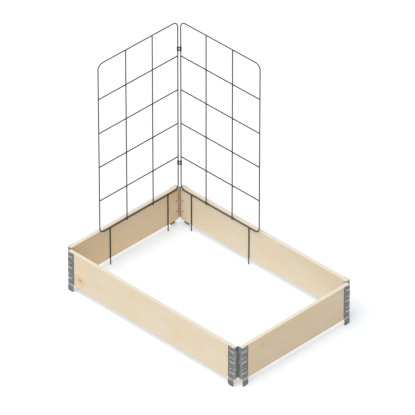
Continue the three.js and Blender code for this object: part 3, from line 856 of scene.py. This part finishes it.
def make_clip(node, material):
    """Two open rings joined by two ties, each ring snapped over a corner wire."""
    low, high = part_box(node)
    right_low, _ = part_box("trellis_right_frame")
    left_low, left_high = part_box("trellis_left_frame")
    right_wire = Vector((right_low.x + WIRE_RADIUS, right_low.y + WIRE_RADIUS, 0))
    left_wire = Vector((left_low.x + WIRE_RADIUS, left_high.y - WIRE_RADIUS, 0))
    line = (left_wire - right_wire).normalized()
    bm = bmesh.new()
    add_clip_ring(bm, right_wire, -line, low.z, high.z)
    add_clip_ring(bm, left_wire, line, low.z, high.z)
    thickness, height, inset = CLIP_TIE
    middle = (right_wire + left_wire) / 2
    length = (left_wire - right_wire).length - 2 * CLIP_BORE - CLIP_WALL
    turn = Matrix.Rotation(math.atan2(line.y, line.x), 4, "Z")
    for start in (low.z + inset, high.z - inset - height):
        place = Matrix.Translation((middle.x, middle.y, start + height / 2))
        add_tie(bm, place @ turn, (length, thickness, height))
    finish_piece(bm, node, material)


def make_hinge(corner, x, y, steel):
    """The hinge of one corner, which lies towards x and y, with its rivets."""
    pin = Matrix.Translation((x * PIN_X, y * PIN_Y, 0))
    long_side = pin @ Matrix(((x, 0, 0, 0), (0, y, 0, 0), (0, 0, 1, 0), (0, 0, 0, 1)))
    short_side = pin @ Matrix(((0, x, 0, 0), (y, 0, 0, 0), (0, 0, 1, 0), (0, 0, 0, 1)))
    make_leaf(f"hinge_{corner}_long_leaf", 0, long_side, steel)
    make_leaf(f"hinge_{corner}_short_leaf", 1, short_side, steel)
    make_pin(f"hinge_{corner}_pin", steel)
    for side in ("long", "short"):
        for k in (1, 2, 3):
            make_rivet(f"rivet_{corner}_{side}_{k}", steel)


def make_planter():
    """All the pieces, each in the place of its CAD node."""
    steel, coat, plastic = galvanised_steel(), powder_coat(), moulded_plastic()
    for board, look in BOARD_LOOKS.items():
        make_board(board, pine(board, **look))
    for row, y in (("back", 1), ("front", -1)):
        for side, x in (("left", -1), ("right", 1)):
            make_hinge(f"{row}_{side}", x, y, steel)
    make_panel("left", coat)
    make_panel("right", coat)
    for clip in ("clip_lower", "clip_upper"):
        make_clip(clip, plastic)


# ---- Stage -----------------------------------------------------------------------------------------------

def seen_directly(tree):
    """1 for the rays that see the background: camera, glossy and transmission rays."""
    path = add_node(tree, "ShaderNodeLightPath").outputs
    seen = calc(tree, "MAXIMUM", path["Is Camera Ray"], path["Is Glossy Ray"])
    return calc(tree, "MAXIMUM", seen, path["Is Transmission Ray"])


def make_floor():
    """A pale floor that shows white to the camera and keeps a light shadow."""
    bm = bmesh.new()
    bmesh.ops.create_grid(bm, x_segments=1, y_segments=1, size=FLOOR_REACH)
    mesh = mesh_from(bm, "floor")
    floor = add_object("floor", mesh)
    material = bpy.data.materials.new("pale_floor")
    material.use_nodes = True
    tree = material.node_tree
    tree.nodes.clear()
    plain = add_node(tree, "ShaderNodeBsdfDiffuse", {"Color": FLOOR_PLAIN})
    shadow = add_node(tree, "ShaderNodeBsdfDiffuse", {"Color": FLOOR_SHADED})
    glow = add_node(tree, "ShaderNodeEmission", {"Color": WHITE, "Strength": FLOOR_GLOW})
    white = add_node(tree, "ShaderNodeAddShader", {0: shadow.outputs[0], 1: glow.outputs[0]})
    shaders = {0: seen_directly(tree), 1: plain.outputs[0], 2: white.outputs[0]}
    shown = add_node(tree, "ShaderNodeMixShader", shaders)
    add_node(tree, "ShaderNodeOutputMaterial", {"Surface": shown.outputs[0]})
    mesh.materials.append(material)


def make_light():
    """White surroundings, which light the object with less strength than they show, and a soft sun."""
    world = bpy.data.worlds.new("studio")
    bpy.context.scene.world = world
    world.use_nodes = True
    tree = world.node_tree
    strength = between(tree, seen_directly(tree), SURROUNDINGS_LIGHT, 1.0)
    tree.links.new(strength, tree.nodes["Background"].inputs["Strength"])
    tree.nodes["Background"].inputs["Color"].default_value = WHITE
    sun = bpy.data.lights.new("sun", "SUN")
    sun.energy, sun.angle = SUN_STRENGTH, SUN_WIDTH
    lamp = add_object("sun", sun)
    lamp.rotation_euler = TOWARDS_SUN.to_track_quat("Z", "Y").to_euler()


def make_camera():
    """The photograph's view: its angles, distance, aim and focal length."""
    turn, rise = CAMERA_TURN, CAMERA_RISE
    back = Vector((math.sin(turn) * math.cos(rise), -math.cos(turn) * math.cos(rise), math.sin(rise)))
    right = Vector((math.cos(turn), math.sin(turn), 0))
    up = back.cross(right)
    camera = bpy.data.cameras.new("camera")
    camera.sensor_width = 36
    camera.lens = FOCAL_PIXELS / FRAME_PIXELS * camera.sensor_width
    camera.clip_start, camera.clip_end = 0.1, 200
    holder = add_object("camera", camera)
    holder.location = back * CAMERA_DISTANCE + right * AIM_RIGHT + up * AIM_UP
    holder.rotation_euler = Matrix((right, up, back)).transposed().to_euler()
    bpy.context.scene.camera = holder


bpy.context.scene.view_settings.view_transform = "Standard"
make_camera()
make_light()
make_floor()
make_planter()
